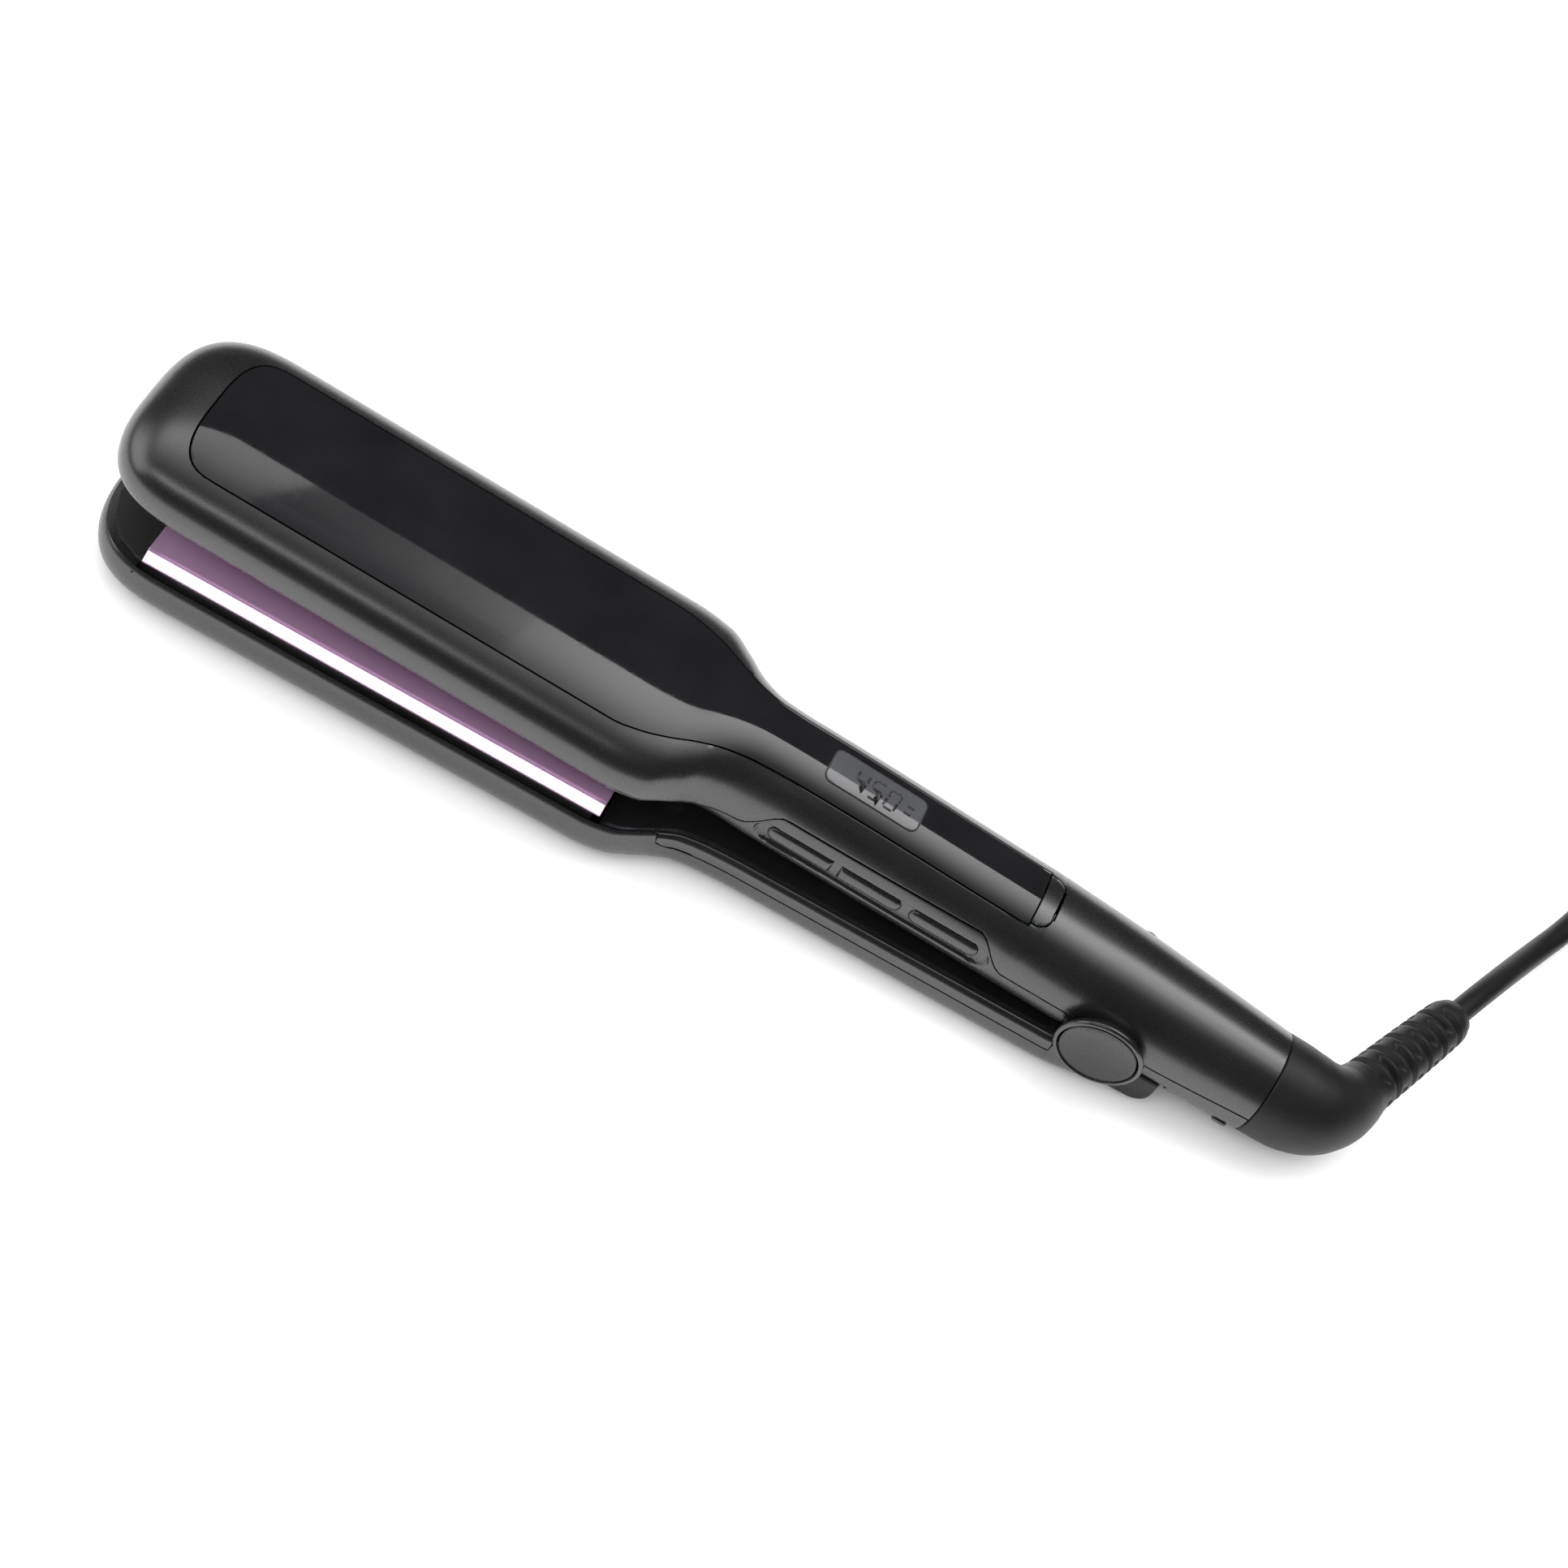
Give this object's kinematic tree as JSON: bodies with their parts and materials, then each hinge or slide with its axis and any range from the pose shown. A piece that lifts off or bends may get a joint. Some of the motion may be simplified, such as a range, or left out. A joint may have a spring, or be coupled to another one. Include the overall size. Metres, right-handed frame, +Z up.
{
  "type": "flat iron",
  "caption": "Wide-plate hair straightener, open, with two sprung arms, floating ceramic plates, side buttons, display, swivel cord boot and coiled lead with plug.",
  "frame": {"origin": "middle of the flat underside of the lower arm, on the surface it lies on", "axes": "+X from the tips of the arms to the cord, -Y the button side, +Z up"},
  "size_m": [0.4434, 0.1952, 0.0429],
  "materials": {
    "satin_black_plastic": "satin, fine moulded texture",
    "gloss_black_plastic": "piano gloss",
    "display_lens": "smoked clear, glossy",
    "ceramic_plate": "purple metallic ceramic coating, polished",
    "heatproof_plastic": "matte",
    "heater_ceramic": "fired ceramic",
    "silicone": "soft",
    "circuit_board": "solder mask",
    "lead_sleeve": "silicone-glass sleeve",
    "steel": "bright",
    "cord_rubber": "matte black",
    "plug_blade": "nickel-plated, bright"
  },
  "bodies": {
    "handle": {"top_cover": "satin_black_plastic", "top_panel": "gloss_black_plastic", "display_window": "display_lens", "display_module": "circuit_board", "panel_end_tab": "satin_black_plastic", "handle_trim": "satin_black_plastic", "circuit_board": "circuit_board", "switch_board": "circuit_board", "heater_leads": "lead_sleeve", "supply_leads": "lead_sleeve", "upper_carrier": "heatproof_plastic", "upper_cushion_front": "silicone", "upper_cushion_rear": "silicone", "hinge_bracket": "steel", "hinge_spring": "steel", "hinge_pin": "steel", "rear_cover": "satin_black_plastic", "handle_screw_1": "steel", "handle_screw_2": "steel", "cord_lead": "cord_rubber", "cord_coil": "cord_rubber", "cord_tail": "cord_rubber", "cord_tie": "cord_rubber", "plug_body": "cord_rubber", "plug_blade_1": "plug_blade", "plug_blade_2": "plug_blade"},
    "upper_plate_float": {"upper_plate": "ceramic_plate", "upper_heater": "heater_ceramic"},
    "lower_arm": {"lower_cover": "satin_black_plastic", "lower_trim": "gloss_black_plastic", "lower_heater_leads": "lead_sleeve", "hinge_knuckle": "heatproof_plastic", "hinge_cap_near": "satin_black_plastic", "hinge_cap_far": "satin_black_plastic", "lower_carrier": "heatproof_plastic", "lower_cushion_front": "silicone", "lower_cushion_rear": "silicone", "lower_screw_1": "steel", "lower_screw_2": "steel"},
    "lower_plate_float": {"lower_plate": "ceramic_plate", "lower_heater": "heater_ceramic"},
    "temp_up": {"temp_up_button": "satin_black_plastic"},
    "temp_down": {"temp_down_button": "satin_black_plastic"},
    "power": {"power_button": "satin_black_plastic"},
    "lock": {"lock_slider": "satin_black_plastic"},
    "swivel": {"cord_boot": "cord_rubber", "swivel_collar": "heatproof_plastic"}
  },
  "joints": [
    {"name": "arm_hinge", "type": "hinge", "parent": "handle", "child": "lower_arm", "pos_m": [0.115, 0, 0.017], "axis": [0, 1, 0], "range_deg": [0, 2.45], "stiffness_Nm_per_rad": 2, "springref_deg": -20.05},
    {"name": "upper_plate_slide", "type": "slide", "parent": "handle", "child": "upper_plate_float", "axis": [0.0436, 0, 0.999], "range_m": [0, 0.0008], "stiffness_N_per_m": 3000, "springref_m": -0.0008, "deforming": ["upper_cushion_front", "upper_cushion_rear"]},
    {"name": "lower_plate_slide", "type": "slide", "parent": "lower_arm", "child": "lower_plate_float", "axis": [0, 0, -1], "range_m": [0, 0.0008], "stiffness_N_per_m": 3000, "springref_m": -0.0008, "deforming": ["lower_cushion_front", "lower_cushion_rear"]},
    {"name": "temp_up_press", "type": "slide", "parent": "handle", "child": "temp_up", "axis": [0, 1, 0], "range_m": [0, 0.0005], "stiffness_N_per_m": 600, "springref_m": -0.0008},
    {"name": "temp_down_press", "type": "slide", "parent": "handle", "child": "temp_down", "axis": [0, 1, 0], "range_m": [0, 0.0005], "stiffness_N_per_m": 600, "springref_m": -0.0008},
    {"name": "power_press", "type": "slide", "parent": "handle", "child": "power", "axis": [0, 1, 0], "range_m": [0, 0.0005], "stiffness_N_per_m": 600, "springref_m": -0.0008},
    {"name": "lock_slide", "type": "slide", "parent": "handle", "child": "lock", "axis": [-0.999, 0, 0.0436], "range_m": [0, 0.004]},
    {"name": "cord_swivel", "type": "hinge", "parent": "handle", "child": "swivel", "pos_m": [0.15061, 0, 0.01419], "axis": [0.999, 0, -0.0436], "continuous": true}
  ]
}
